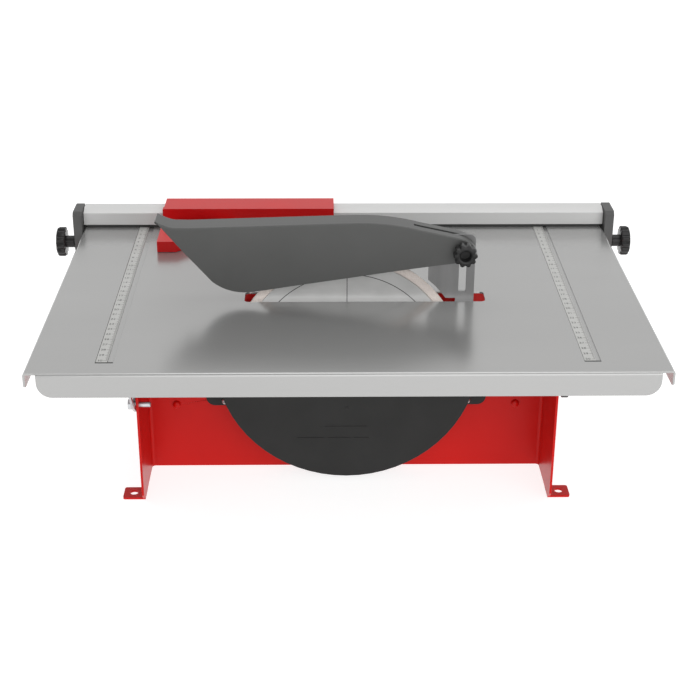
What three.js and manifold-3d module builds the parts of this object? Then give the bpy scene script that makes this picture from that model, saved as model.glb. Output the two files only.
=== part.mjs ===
// Bench wet tile cutter: folded sheet stand, tilting sheet table, diamond blade on a direct motor.
// Millimetres. +X to the operator's right, +Y from the operator to the back, +Z up.
// The origin is on the floor under the middle of the machine.
import * as THREE from 'three';
import { mergeVertices } from 'three/addons/utils/BufferGeometryUtils.js';
import Module from 'manifold-3d';

const wasm = await Module();
wasm.setup();

// Fits
const GAP = 0.3;                 // between pieces that rest against each other
const LOOSE = 0.4;               // radial room round a screw in its clearance hole
const PAST = 1;                  // how far a cutter runs past the face it cuts
const ROUND = 32;                // sides of a large turned piece
const SMALL = 12;                // sides of a screw

// Table, one folded sheet
const TABLE_W = 503.4;
const TABLE_D = 350;
const TABLE_TOP = 175;
const TABLE_T = 1.8;
const FRONT_LIP = 20;            // front and back flange, from the top face down
const SIDE_LIP = 13;
const LIP_INSET = 10.4;            // open relief at each corner
const LIP_CORNER = 12;           // rounded lower corner of a flange
const SIDE_CORNER = 2.5;
const BEND = 2.6;                // outer radius of the folds

// Blade, motor axis and the hinge line of the table
const BLADE_R = 100;
const BLADE_Y = -24;
const AXIS_Z = 115;
const RIM_DEPTH = 7.5;
const RIM_T = 2.2;
const CORE_T = 1.8;
const ARBOR_R = 6;
const BLADE_FLANGE_R = 27;
const BLADE_FLANGE_T = 3.8;
const PIVOT_Y = BLADE_Y;
const PIVOT_Z = TABLE_TOP - 8;
const PIVOT_R = 2.5;

// Slot in the table for the blade
const SLOT_LEFT = -88;
const SLOT_RIGHT = 118.7;
const SLOT_W = 21.8;
const SLOT_CORNER = 4;

// Scales let into the table
const SCALES = {
  left: { from: -198.4, to: -184.2, stripTo: -189.2 },
  right: { from: 184.0, to: 197.0, stripTo: 193.4 },
};
const SCALE_T = 0.7;
const SCALE_DEEP = 1;
const SCALE_FRONT = -155;
const SCALE_BACK = 168;

// Stand, two folded channels back to back
const STAND_X = 180;             // outer face of a side
const SHEET = 2;
const WALL_Y = -10;              // front face of the front channel's wall
const REAR_WALL_Y = WALL_Y + SHEET + GAP;
const STAND_FRONT = -77;
const STAND_BACK = 87;
const FOLD_R = 5;
const SKIRT_Z = 0.6;             // lower edge of wall and sides
const WALL_TOP = 172.4;
const LUG_R = 5.4;
const CHEEK_Z = 118;             // height of a side at its open edge
const CHEEK_SLOPE_Y = -30;
const CHEEK_SLOPE_Z = 164;
const FOOT_X = 198;
const FOOT_T = 2;
const FRONT_FOOT = { near: -69, far: -51 };
const REAR_FOOT = { near: 58, far: 80 };
const FOOT_CORNER = 2;
const FOOT_HOLE_X = 189;
const FOOT_HOLE_R = 3.75;
const REAR_SLOPE_Y = 40;
const TIE_X = 153;               // bolts that hold the two channels together
const TIE_Z = 64;
const TIE_R = 2.6;
const TIE_HEAD_R = 3.6;
const MOTOR_BOLT_R = 2.6;

// Lower blade cover, a moulded water trough
const TROUGH_R = 115;
const TROUGH_Z = 120.5;
const TROUGH_FRONT = -39;
const TROUGH_TOP = 153;
const TROUGH_WALL = 2.2;
const EAR_X = 126;
const EAR_BOTTOM = 64;
const EAR_CORNER = 8;
const EAR_T = 2.5;
const EAR_SCREW_LOW = { x: 109, z: 68.5 };
const EAR_SCREW_HIGH = { x: 120.6, z: 140 };

// Tilt brackets and their clamps
const BRACKET_X = STAND_X + GAP;
const BRACKET_T = 2;
const BRACKET_BAND = 14;
const BRACKET_FRONT = -118;
const BRACKET_BACK = 30;
const BRACKET_FLANGE = 18;
const STRAP_W = 13;
const TILT = Math.PI / 4;
const CLAMP_R = 2.4;
const CLAMP_LEFT = { reach: 85.3 };
const CLAMP_RIGHT = { reach: 70 };
const CLAMP_ANGLE = Math.atan2(-72.5, -45);   // seen from the right, from the hinge line
const CLAMP_INSIDE = 168.5;

// Riving knife
const KNIFE_T = 2;
const KNIFE_CLEAR = 103.4;       // radius that its front edge keeps from the arbor
const KNIFE = { left: 69.7, right: 109.3, shoulderZ: 191, top: 232.3, foot: 107.4, footLeft: 93.3 };
const KNIFE_CORNER = 5.3;
const KNIFE_SLOT = { z0: 180.2, z1: 226.6, corner: 1.2 };
const KNIFE_FOOT_Z = 134;
const KNIFE_STEP_Z = 165;
const KNIFE_SCREWS = [{ x: 103, z: 153 }, { x: 104.6, z: 141 }];
const KNIFE_SPACER_R = 4;

// Blade guard
const GUARD_W = 22;
const GUARD_WALL = 2.2;
const GUARD = {
  tip: [-160.4, 248], brow: [-146, 242.2], crown: [2, 246], shoulder: [33, 245.5],
  rear: [93, 232.6], heel: [108.5, 228.5], heelLow: [110, 214], floorRear: [45, 203.6],
  floor: [2.4, 197], jaw: [-75.8, 184.9], chin: [-98, 183.2], cheek: [-114.6, 193.6],
  lip: [-138.2, 220.8],
};
const GUARD_BACK_FLOOR = 198;    // lower edge of the back wall, so the tilted table clears it
const GUARD_SLIT_X = 60;
const BOLT_X = 99;
const BOLT_Z = 220.2;
const GUARD_BOLT_R = 2.9;
const STAR_R = 10.2;
const STAR_LOBES = 10;

// Fence and its end clamps
const FENCE_X = 251.8;
const FENCE_Y = 149;
const FENCE_D = 18.6;
const FENCE_BOTTOM = TABLE_TOP + 2.6;
const FENCE_TOP = 193;
const FENCE_SLOPE = { depth: 9, drop: 3.4 };
const FENCE_GROOVE = { y: 161.5, z0: 184, z1: 189 };
const CLAMP_BLOCK_X = 260.9;
const CLAMP_BLOCK_FRONT = 140;
const CLAMP_BLOCK_Z = 150;
const CLAMP_FOOT_R = 8;
const CLAMP_CHAMFER = 3;
const FENCE_KNOB_Y = 145.5;
const FENCE_KNOB_Z = 162;
const FENCE_KNOB_R = 14.3;
const FENCE_NECK_R = 5.8;
const FENCE_NECK_X = 268.8;
const FENCE_KNOB_X = 277.8;
const FENCE_FLUTES = 12;

// Mitre guide
const GUIDE_LEFT = -174.3;
const GUIDE_RIGHT = -10;
const GUIDE_FRONT = 140;
const GUIDE_BACK = 171;
const GUIDE_TOP = 197;
const GUIDE_LIP = 5.5;
const GUIDE_FOOT_FRONT = 82;
const GUIDE_FOOT_W = 17.3;
const GUIDE_FOOT_H = 10.2;
const GUIDE_SCREW_X = -92;

// Motor, switch box
const MOTOR_R = 50;
const MOTOR_WALL = 3;
const CAN_FRONT = 9.3;
const CAN_BACK = 87;
const MOTOR_END = 101;
const BEARING_R = 13;
const MOTOR_BOLT_PITCH = 28;
const STATOR_R = 30;
const CORE_FRONT = 20;
const CORE_BACK = 66;
const BOX = { x0: 105, x1: 165, y1: 40, z0: 76, z1: 132 };
const BUTTON_R = 8;
const BUTTON_Z = { on: 117, off: 91 };

// ---- making and joining solids ----

function solid(geometry) {
  const bare = new THREE.BufferGeometry();
  bare.setAttribute('position', geometry.getAttribute('position').clone());
  if (geometry.index) bare.setIndex(geometry.index.clone());
  const merged = mergeVertices(bare, 1e-4);
  return new wasm.Manifold(new wasm.Mesh({
    numProp: 3,
    vertProperties: new Float32Array(merged.getAttribute('position').array),
    triVerts: new Uint32Array(merged.index.array),
  }));
}

const join = (first, ...rest) => rest.reduce((a, b) => a.add(b), first);
const cut = (first, ...rest) => rest.reduce((a, b) => a.subtract(b), first);
const mirrored = (s) => s.mirror([1, 0, 0]);

function box(x0, x1, y0, y1, z0, z1) {
  const g = new THREE.BoxGeometry(x1 - x0, y1 - y0, z1 - z0);
  return solid(g.translate((x0 + x1) / 2, (y0 + y1) / 2, (z0 + z1) / 2));
}

function cylY(r, y0, y1, x, z, sides = ROUND) {
  const g = new THREE.CylinderGeometry(r, r, y1 - y0, sides);
  return solid(g.translate(x, (y0 + y1) / 2, z));
}

function cylX(r, x0, x1, y, z, sides = ROUND) {
  const g = new THREE.CylinderGeometry(r, r, x1 - x0, sides).rotateZ(Math.PI / 2);
  return solid(g.translate((x0 + x1) / 2, y, z));
}

function cylZ(r, z0, z1, x, y, sides = ROUND) {
  const g = new THREE.CylinderGeometry(r, r, z1 - z0, sides).rotateX(Math.PI / 2);
  return solid(g.translate(x, y, (z0 + z1) / 2));
}

const extrude = (shape, depth, curve = 6) =>
  new THREE.ExtrudeGeometry(shape, { depth, bevelEnabled: false, curveSegments: curve });

// A front view (x, z) given depth along Y
const alongY = (shape, y0, y1, curve) =>
  solid(extrude(shape, y1 - y0, curve).rotateX(Math.PI / 2).translate(0, y1, 0));

// A side view (y, z) given length along X
function alongX(shape, x0, x1, curve) {
  const turn = new THREE.Matrix4().makeBasis(
    new THREE.Vector3(0, 1, 0), new THREE.Vector3(0, 0, 1), new THREE.Vector3(1, 0, 0));
  return solid(extrude(shape, x1 - x0, curve).applyMatrix4(turn).translate(x0, 0, 0));
}

// A plan (x, y) given height along Z
const alongZ = (shape, z0, z1, curve) => solid(extrude(shape, z1 - z0, curve).translate(0, 0, z0));

function polygon(points) {
  return new THREE.Shape(points.map(([a, b]) => new THREE.Vector2(a, b)));
}

function roundedRect(a0, a1, b0, b1, r) {
  const s = new THREE.Shape();
  s.moveTo(a0 + r, b0).lineTo(a1 - r, b0).absarc(a1 - r, b0 + r, r, -Math.PI / 2, 0);
  s.lineTo(a1, b1 - r).absarc(a1 - r, b1 - r, r, 0, Math.PI / 2);
  s.lineTo(a0 + r, b1).absarc(a0 + r, b1 - r, r, Math.PI / 2, Math.PI);
  s.lineTo(a0, b0 + r).absarc(a0 + r, b0 + r, r, Math.PI, Math.PI * 1.5);
  return s;
}

// Turned piece on a line parallel to Y: [radius, y] pairs from one end of the axis to the other
function turnedY(profile, x, z, sides = ROUND) {
  const g = new THREE.LatheGeometry(profile.map(([r, y]) => new THREE.Vector2(r, y)), sides);
  return solid(g.translate(x, 0, z));
}

function turnedX(profile, y, z, sides = ROUND) {
  const g = new THREE.LatheGeometry(profile.map(([r, x]) => new THREE.Vector2(r, -x)).reverse(), sides);
  return solid(g.rotateZ(Math.PI / 2).translate(0, y, z));
}

// Round outline with lobes, for grips
function lobed(radius, lobes, depth, steps) {
  const points = [];
  for (let i = 0; i < lobes * steps; i++) {
    const a = (i / (lobes * steps)) * Math.PI * 2;
    const r = radius - depth * (0.5 - 0.5 * Math.cos(lobes * a));
    points.push([r * Math.cos(a), r * Math.sin(a)]);
  }
  return polygon(points);
}

// ---- colours ----
const finish = (color, metalness, roughness) =>
  new THREE.MeshStandardMaterial({ color, metalness, roughness });
const SATIN_STEEL = finish(0xb4b4b2, 0.9, 0.35);
const ZINC = finish(0xb9bcc0, 0.9, 0.4);
const RED = finish(0xb5140f, 0.1, 0.35);
const GUARD_GREY = finish(0x53534f, 0, 0.5);
const CHARCOAL = finish(0x343432, 0, 0.55);
const BLACK = finish(0x202020, 0, 0.5);
const ALUMINIUM = finish(0xcccdcc, 0.8, 0.4);
const BLADE_STEEL = finish(0xbfc0c0, 0.8, 0.35);
const DIAMOND = finish(0xd2cabb, 0.1, 0.9);
const SCALE_FACE = finish(0xd5d4cc, 0.1, 0.6);
const COPPER = finish(0x9b5a2e, 0.6, 0.5);
const CAST = finish(0x8c8e90, 0.7, 0.5);
const GREEN = finish(0x1e8a3c, 0, 0.4);

const group = new THREE.Group();
group.name = 'tile_cutter';

function add(name, body, material) {
  const out = body.getMesh();
  const g = new THREE.BufferGeometry();
  g.setAttribute('position', new THREE.BufferAttribute(new Float32Array(out.vertProperties), 3));
  g.setIndex(new THREE.BufferAttribute(new Uint32Array(out.triVerts), 1));
  const mesh = new THREE.Mesh(g, material);
  mesh.geometry.computeVertexNormals();
  mesh.name = name;
  group.add(mesh);
}

// ---- stand ----

// Side view of one cheek of the front channel, with the hinge lug above the slope
function frontCheek() {
  return polygon([
    [STAND_FRONT, SKIRT_Z], [FRONT_FOOT.near, SKIRT_Z], [FRONT_FOOT.near, 0], [FRONT_FOOT.far, 0],
    [FRONT_FOOT.far, SKIRT_Z], [WALL_Y + SHEET, SKIRT_Z], [WALL_Y + SHEET, WALL_TOP],
    [PIVOT_Y + LUG_R, WALL_TOP - GAP], [CHEEK_SLOPE_Y, CHEEK_SLOPE_Z], [STAND_FRONT, CHEEK_Z],
  ]);
}

function rearCheek() {
  return polygon([
    [REAR_WALL_Y, SKIRT_Z], [REAR_FOOT.near, SKIRT_Z], [REAR_FOOT.near, 0], [REAR_FOOT.far, 0],
    [REAR_FOOT.far, SKIRT_Z], [STAND_BACK, SKIRT_Z], [STAND_BACK, CHEEK_Z],
    [REAR_SLOPE_Y, WALL_TOP], [REAR_WALL_Y, WALL_TOP],
  ]);
}

// Plan of a folded channel: outer face of the wall at wallY, sides running to openY
function channelPlan(wallY, openY, thick, outer) {
  const way = Math.sign(openY - wallY);
  const reach = outer - FOLD_R;
  const fold = (sx, r, points) => {
    for (let i = 0; i <= 4; i++) {
      const a = (i / 4) * Math.PI / 2;
      points.push([sx * (reach + r * Math.sin(a)), wallY + way * (FOLD_R - r * Math.cos(a))]);
    }
  };
  const outside = [[-outer, openY]];
  const left = [];
  fold(-1, FOLD_R, left);
  outside.push(...left.reverse());
  fold(1, FOLD_R, outside);
  outside.push([outer, openY], [outer - thick, openY]);
  const right = [];
  fold(1, FOLD_R - thick, right);
  outside.push(...right.reverse());
  fold(-1, FOLD_R - thick, outside);
  outside.push([-(outer - thick), openY]);
  return polygon(outside);
}

function channel(wallY, openY, cheek, foot) {
  const folded = alongZ(channelPlan(wallY, openY, SHEET, STAND_X), 0, WALL_TOP);
  const trimmed = folded.intersect(alongX(cheek, -STAND_X - PAST, STAND_X + PAST));
  const plan = roundedRect(STAND_X - SHEET, FOOT_X, foot.near, foot.far, FOOT_CORNER);
  const mid = (foot.near + foot.far) / 2;
  const tab = cut(
    join(alongZ(plan, 0, FOOT_T, 4),
      box(STAND_X - SHEET, STAND_X + FOOT_CORNER, foot.near, foot.far, 0, FOOT_T)),
    cylZ(FOOT_HOLE_R, -PAST, FOOT_T + PAST, FOOT_HOLE_X, mid, SMALL));
  return join(trimmed, tab, mirrored(tab));
}

const wallCutter = (r, x, z, sides = SMALL) =>
  cylY(r, WALL_Y - PAST, REAR_WALL_Y + SHEET + PAST, x, z, sides);

function wallHoles() {
  const holes = [wallCutter(ARBOR_R + SHEET * 3, 0, AXIS_Z, ROUND)];
  for (const side of [-1, 1]) {
    holes.push(wallCutter(TIE_R + LOOSE, side * TIE_X, TIE_Z));
    for (const up of [-1, 1]) {
      holes.push(wallCutter(MOTOR_BOLT_R + LOOSE, side * MOTOR_BOLT_PITCH, AXIS_Z + up * MOTOR_BOLT_PITCH));
    }
  }
  return holes;
}

const clampAt = (clamp) => [
  PIVOT_Y + clamp.reach * Math.cos(CLAMP_ANGLE), PIVOT_Z + clamp.reach * Math.sin(CLAMP_ANGLE)];

function frontStand() {
  const far = STAND_X + PAST;
  const near = STAND_X - SHEET - PAST;
  const lug = cylX(LUG_R, STAND_X - SHEET, STAND_X, PIVOT_Y, PIVOT_Z, ROUND);
  const neck = box(STAND_X - SHEET, STAND_X, PIVOT_Y - LUG_R / 2, PIVOT_Y + LUG_R, CHEEK_SLOPE_Z - LUG_R, PIVOT_Z);
  const drill = (side, r, y, z) =>
    cylX(r, side > 0 ? near : -far, side > 0 ? far : -near, y, z, SMALL);
  const [ly, lz] = clampAt(CLAMP_LEFT);
  const [ry, rz] = clampAt(CLAMP_RIGHT);
  return cut(
    join(channel(WALL_Y + SHEET, STAND_FRONT, frontCheek(), FRONT_FOOT), lug, mirrored(lug), neck, mirrored(neck)),
    ...wallHoles(),
    drill(1, PIVOT_R + GAP, PIVOT_Y, PIVOT_Z), drill(-1, PIVOT_R + GAP, PIVOT_Y, PIVOT_Z),
    drill(-1, CLAMP_R + GAP, ly, lz), drill(1, CLAMP_R + GAP, ry, rz),
    ...KNIFE_SCREWS.map((s) => wallCutter(PIVOT_R + GAP, s.x, s.z)),
    ...earScrews().map((s) => wallCutter(PIVOT_R + GAP, s.x, s.z)));
}

const rearStand = () => cut(
  channel(REAR_WALL_Y, STAND_BACK, rearCheek(), REAR_FOOT), ...wallHoles(),
  ...KNIFE_SCREWS.map((s) => wallCutter(PIVOT_R * 2, s.x, s.z)),
  ...earScrews().map((s) => wallCutter(PIVOT_R * 2, s.x, s.z)));

// Round headed bolt across both walls, with its nut behind
function tieBolt(x) {
  const back = REAR_WALL_Y + SHEET + GAP;
  return turnedY([
    [0, WALL_Y - GAP - 2.6], [TIE_HEAD_R * 0.7, WALL_Y - GAP - 2], [TIE_HEAD_R, WALL_Y - GAP - 0.6],
    [TIE_HEAD_R, WALL_Y - GAP], [TIE_R, WALL_Y - GAP], [TIE_R, back], [TIE_R * 2, back],
    [TIE_R * 2, back + TIE_R * 1.6], [TIE_R, back + TIE_R * 1.6], [TIE_R, back + TIE_R * 2.4],
    [0, back + TIE_R * 2.4]], x, TIE_Z, SMALL);
}

// ---- lower blade cover ----

function earScrews() {
  return [-1, 1].flatMap((side) => [EAR_SCREW_LOW, EAR_SCREW_HIGH].map((s) => ({ x: side * s.x, z: s.z })));
}

function bladeCover() {
  const back = WALL_Y - GAP;
  const low = TROUGH_Z - TROUGH_R - PAST;
  const belowTop = box(-EAR_X - PAST, EAR_X + PAST, TROUGH_FRONT - PAST, back + PAST, low, TROUGH_TOP);
  const drum = cylY(TROUGH_R, TROUGH_FRONT, back, 0, TROUGH_Z, ROUND * 2);
  const ears = alongY(roundedRect(-EAR_X, EAR_X, EAR_BOTTOM, TROUGH_TOP + EAR_CORNER * 2, EAR_CORNER),
    back - EAR_T, back, 4);
  const inside = cylY(TROUGH_R - TROUGH_WALL, TROUGH_FRONT + TROUGH_WALL, back + PAST, 0, TROUGH_Z, ROUND * 2);
  const drills = earScrews().map((s) => cylY(PIVOT_R + GAP, back - EAR_T - PAST, back + PAST, s.x, s.z, SMALL));
  return cut(join(drum, ears).intersect(belowTop), inside, ...drills);
}

function coverScrew({ x, z }) {
  const face = WALL_Y - GAP - EAR_T - GAP;
  const body = turnedY([
    [0, face - 2], [2.2, face - 1.7], [3.1, face - 0.5], [3.1, face], [PIVOT_R, face],
    [PIVOT_R, REAR_WALL_Y + SHEET], [0, REAR_WALL_Y + SHEET + PIVOT_R]], x, z, SMALL);
  return body;
}

// ---- riving knife ----

function knifeOutline() {
  const k = KNIFE;
  const s = new THREE.Shape();
  const edgeX = (z) => Math.sqrt(KNIFE_CLEAR ** 2 - (z - AXIS_Z) ** 2);
  s.moveTo(k.foot, KNIFE_FOOT_Z).lineTo(k.foot, KNIFE_STEP_Z).lineTo(k.right, KNIFE_STEP_Z + 2);
  s.lineTo(k.right, k.top - KNIFE_CORNER);
  s.absarc(k.right - KNIFE_CORNER, k.top - KNIFE_CORNER, KNIFE_CORNER, 0, Math.PI / 2);
  s.lineTo(k.left, k.top).lineTo(k.left, k.shoulderZ);
  for (const z of [k.shoulderZ - 6, k.shoulderZ - 12, KNIFE_STEP_Z + 9]) s.lineTo(edgeX(z), z);
  s.lineTo(k.footLeft, KNIFE_STEP_Z + 9).lineTo(k.footLeft, KNIFE_STEP_Z - 8);
  for (const z of [KNIFE_STEP_Z - 14, KNIFE_STEP_Z - 20, KNIFE_FOOT_Z]) s.lineTo(edgeX(z), z);
  return s;
}

function rivingKnife() {
  const y0 = BLADE_Y - KNIFE_T / 2;
  const slotR = GUARD_BOLT_R + GAP;
  const slot = roundedRect(BOLT_X - slotR, BOLT_X + slotR, KNIFE_SLOT.z0, KNIFE_SLOT.z1, KNIFE_SLOT.corner);
  return cut(alongY(knifeOutline(), y0, y0 + KNIFE_T, 5),
    alongY(slot, y0 - PAST, y0 + KNIFE_T + PAST, 4),
    ...KNIFE_SCREWS.map((s) => cylY(PIVOT_R, y0 - PAST, y0 + KNIFE_T + PAST, s.x, s.z, SMALL)));
}

const knifeSpacer = ({ x, z }) => {
  const y0 = BLADE_Y + KNIFE_T / 2 + GAP;
  const y1 = WALL_Y - GAP;
  return cut(cylY(KNIFE_SPACER_R, y0, y1, x, z, SMALL), cylY(PIVOT_R, y0 - PAST, y1 + PAST, x, z, SMALL));
};

function knifeScrew({ x, z }) {
  const face = BLADE_Y - KNIFE_T / 2 - GAP;
  const shank = PIVOT_R - GAP;
  return turnedY([[0, face - 3], [KNIFE_SPACER_R - 0.6, face - 3], [KNIFE_SPACER_R, face - 2.4],
    [KNIFE_SPACER_R, face], [shank, face], [shank, REAR_WALL_Y + SHEET + 2],
    [0, REAR_WALL_Y + SHEET + 2]], x, z, SMALL);
}

// ---- motor and arbor ----

const ring = (outer, inner, y0, y1, sides = ROUND) =>
  cut(cylY(outer, y0, y1, 0, AXIS_Z, sides), cylY(inner, y0 - PAST, y1 + PAST, 0, AXIS_Z, sides));

const MOTOR_FACE = REAR_WALL_Y + SHEET + GAP;

function motorFrontBell() {
  const boss = 8;
  const cup = cut(cylY(MOTOR_R, MOTOR_FACE, CAN_FRONT - GAP, 0, AXIS_Z),
    cylY(MOTOR_R - MOTOR_WALL, MOTOR_FACE + boss, CAN_FRONT + PAST, 0, AXIS_Z));
  const bolts = [];
  for (const sx of [-1, 1]) for (const sz of [-1, 1]) {
    bolts.push(cylY(MOTOR_BOLT_R + LOOSE, MOTOR_FACE - PAST, MOTOR_FACE + boss + PAST,
      sx * MOTOR_BOLT_PITCH, AXIS_Z + sz * MOTOR_BOLT_PITCH, SMALL));
  }
  return cut(cup, cylY(BEARING_R + GAP, MOTOR_FACE - PAST, MOTOR_FACE + boss + PAST, 0, AXIS_Z), ...bolts);
}

function motorCan() {
  const fins = [];
  const vents = [];
  const count = 12;
  for (let i = 0; i < count; i++) {
    const turn = (i * 360) / count;
    const fin = box(-1.2, 1.2, CAN_FRONT + 12, CAN_BACK - 22, MOTOR_R - 1, MOTOR_R + 3);
    const vent = box(-4, 4, CAN_BACK - 16, CAN_BACK - 6, MOTOR_R - MOTOR_WALL - PAST, MOTOR_R + PAST);
    fins.push(fin.rotate([0, turn, 0]).translate([0, 0, AXIS_Z]));
    vents.push(vent.rotate([0, turn, 0]).translate([0, 0, AXIS_Z]));
  }
  return cut(join(ring(MOTOR_R, MOTOR_R - MOTOR_WALL, CAN_FRONT, CAN_BACK, ROUND * 2), ...fins), ...vents);
}

function motorRearBell() {
  const y0 = CAN_BACK + GAP;
  const floor = MOTOR_END - MOTOR_WALL;
  const seat = 9;
  const cup = cylY(BEARING_R + GAP, y0 - PAST, floor + GAP, 0, AXIS_Z);
  const shell = cut(
    turnedY([[0, y0], [MOTOR_R, y0], [MOTOR_R, MOTOR_END - 3], [MOTOR_R - 3, MOTOR_END], [0, MOTOR_END]],
      0, AXIS_Z),
    cylY(MOTOR_R - MOTOR_WALL, y0 - PAST, floor, 0, AXIS_Z));
  const boss = cylY(BEARING_R + MOTOR_WALL, floor - seat, MOTOR_END, 0, AXIS_Z);
  const vents = [];
  for (let i = 0; i < 8; i++) {
    const slot = box(-3, 3, floor - PAST * 3, MOTOR_END + PAST, BEARING_R + 9, MOTOR_R - 10);
    vents.push(slot.rotate([0, i * 45, 0]).translate([0, 0, AXIS_Z]));
  }
  return cut(join(shell, boss), cup, ...vents);
}

function motorBolt(sx, sz) {
  const head = WALL_Y - GAP;
  const tip = MOTOR_FACE + 8;
  const wide = MOTOR_BOLT_R * 1.7;
  return turnedY([[0, head - 3], [wide, head - 3], [wide, head], [MOTOR_BOLT_R, head], [MOTOR_BOLT_R, tip],
    [0, tip]], sx * MOTOR_BOLT_PITCH, AXIS_Z + sz * MOTOR_BOLT_PITCH, 6);
}

function shaft() {
  return turnedY([[0, -36], [ARBOR_R - 0.8, -36], [ARBOR_R, -35.2], [ARBOR_R, MOTOR_FACE + 9],
    [ARBOR_R + 2, MOTOR_FACE + 9], [ARBOR_R + 2, CAN_BACK - 1], [ARBOR_R, CAN_BACK - 1],
    [ARBOR_R, MOTOR_END - MOTOR_WALL - 1], [0, MOTOR_END - MOTOR_WALL - 1]], 0, AXIS_Z);
}

function fan() {
  const y0 = CORE_BACK + 4;
  const y1 = CAN_BACK - 2;
  const hub = ring(15, ARBOR_R + 2 + GAP, y0, y1);
  const disc = ring(40, ARBOR_R + 2 + GAP, y0, y0 + 2);
  const blades = [];
  for (let i = 0; i < 8; i++) {
    blades.push(box(-1, 1, y0 + 1, y1, 12, 39).rotate([0, i * 45, 0]).translate([0, 0, AXIS_Z]));
  }
  return join(hub, disc, ...blades);
}

function bladeFlange(y0, y1, hubY) {
  const lean = 3;
  const r = BLADE_FLANGE_R;
  const away = hubY > y1;
  const rim = away
    ? [[0, y0], [r, y0], [r, y0 + 2], [r - lean * 3, y1], [r - lean * 4, hubY], [0, hubY]]
    : [[0, hubY], [r - lean * 4, hubY], [r - lean * 3, y0], [r, y1 - 2], [r, y1], [0, y1]];
  return cut(turnedY(rim, 0, AXIS_Z), cylY(ARBOR_R + GAP, -60, 60, 0, AXIS_Z, SMALL));
}

const hexNut = (across, bore, y0, y1) =>
  cut(cylY(across / Math.sqrt(3), y0, y1, 0, AXIS_Z, 6), cylY(bore, y0 - PAST, y1 + PAST, 0, AXIS_Z, SMALL));

// ---- switch box ----

function switchBox() {
  const shell = alongZ(roundedRect(BOX.x0, BOX.x1, MOTOR_FACE, BOX.y1, 5), BOX.z0, BOX.z1, 4);
  const mid = (BOX.x0 + BOX.x1) / 2;
  const wells = Object.values(BUTTON_Z).map((z) => cylY(BUTTON_R + GAP, BOX.y1 - 9, BOX.y1 + PAST, mid, z));
  return cut(shell, ...wells);
}

const button = (z) => turnedY([[0, BOX.y1 - 5], [BUTTON_R, BOX.y1 - 5], [BUTTON_R, BOX.y1 + 3.4],
  [BUTTON_R - 1, BOX.y1 + 4.4], [0, BOX.y1 + 4.8]], (BOX.x0 + BOX.x1) / 2, z, 24);

function cableGland() {
  const g = new THREE.LatheGeometry([[0, -12], [5, -12], [6.5, -10], [6.5, -6], [8, -6], [8, -1],
    [6, -1], [6, -GAP], [0, -GAP]].map(([r, z]) => new THREE.Vector2(r, z)), 12);
  return solid(g.rotateX(Math.PI / 2).translate((BOX.x0 + BOX.x1) / 2, BOX.y1 / 2, BOX.z0));
}

// ---- table ----

// Section of a folded edge: flat on top, round the bend and down to its lower end
function foldedEdge(edge, low) {
  const s = new THREE.Shape();
  s.moveTo(edge - BEND - PAST, TABLE_TOP).lineTo(edge - BEND, TABLE_TOP);
  s.absarc(edge - BEND, TABLE_TOP - BEND, BEND, Math.PI / 2, 0, true);
  s.lineTo(edge, low).lineTo(edge - TABLE_T, low).lineTo(edge - TABLE_T, TABLE_TOP - BEND);
  s.absarc(edge - BEND, TABLE_TOP - BEND, BEND - TABLE_T, 0, Math.PI / 2);
  s.lineTo(edge - BEND - PAST, TABLE_TOP - TABLE_T);
  return s;
}

// View square on to a flange, with its two lower corners rounded
function flangeOutline(half, low, corner) {
  const s = new THREE.Shape();
  s.moveTo(-half, TABLE_TOP + PAST).lineTo(-half, low + corner);
  s.absarc(-half + corner, low + corner, corner, Math.PI, Math.PI * 1.5);
  s.lineTo(half - corner, low);
  s.absarc(half - corner, low + corner, corner, -Math.PI / 2, 0);
  s.lineTo(half, TABLE_TOP + PAST);
  return s;
}

function backFlange() {
  const half = TABLE_W / 2 - LIP_INSET;
  const low = TABLE_TOP - FRONT_LIP;
  return alongX(foldedEdge(TABLE_D / 2, low), -half, half, 3).intersect(
    alongY(flangeOutline(half, low, LIP_CORNER), 0, TABLE_D, 4));
}

function rightFlange() {
  const half = TABLE_D / 2 - BEND;
  const low = TABLE_TOP - SIDE_LIP;
  return alongY(foldedEdge(TABLE_W / 2, low), -half, half, 3).intersect(
    alongX(flangeOutline(half, low, SIDE_CORNER), 0, TABLE_W, 3));
}

function table() {
  const x = TABLE_W / 2 - BEND;
  const y = TABLE_D / 2 - BEND;
  const flat = box(-x, x, -y, y, TABLE_TOP - TABLE_T, TABLE_TOP);
  const back = backFlange();
  const right = rightFlange();
  const slot = roundedRect(SLOT_LEFT, SLOT_RIGHT, BLADE_Y - SLOT_W / 2, BLADE_Y + SLOT_W / 2, SLOT_CORNER);
  const grooves = Object.values(SCALES).map(({ from, to }) =>
    box(from, to, SCALE_FRONT, SCALE_BACK, TABLE_TOP - SCALE_DEEP, TABLE_TOP + PAST));
  return cut(join(flat, back, back.mirror([0, 1, 0]), right, mirrored(right)),
    alongZ(slot, TABLE_TOP - TABLE_T - PAST, TABLE_TOP + PAST, 4), ...grooves);
}

function scaleStrip({ from, stripTo }) {
  const z0 = TABLE_TOP - SCALE_DEEP + GAP / 2;
  return box(from + GAP, stripTo, SCALE_FRONT + GAP, SCALE_BACK - GAP, z0, z0 + SCALE_T);
}

// Side view of a ring sector about the hinge line, between two angles
function sector(inner, outer, from, to, steps) {
  const points = [];
  for (let i = 0; i <= steps; i++) {
    const a = from + ((to - from) * i) / steps;
    points.push([PIVOT_Y + outer * Math.cos(a), PIVOT_Z + outer * Math.sin(a)]);
  }
  for (let i = steps; i >= 0; i--) {
    const a = from + ((to - from) * i) / steps;
    points.push([PIVOT_Y + inner * Math.cos(a), PIVOT_Z + inner * Math.sin(a)]);
  }
  return polygon(points);
}

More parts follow.
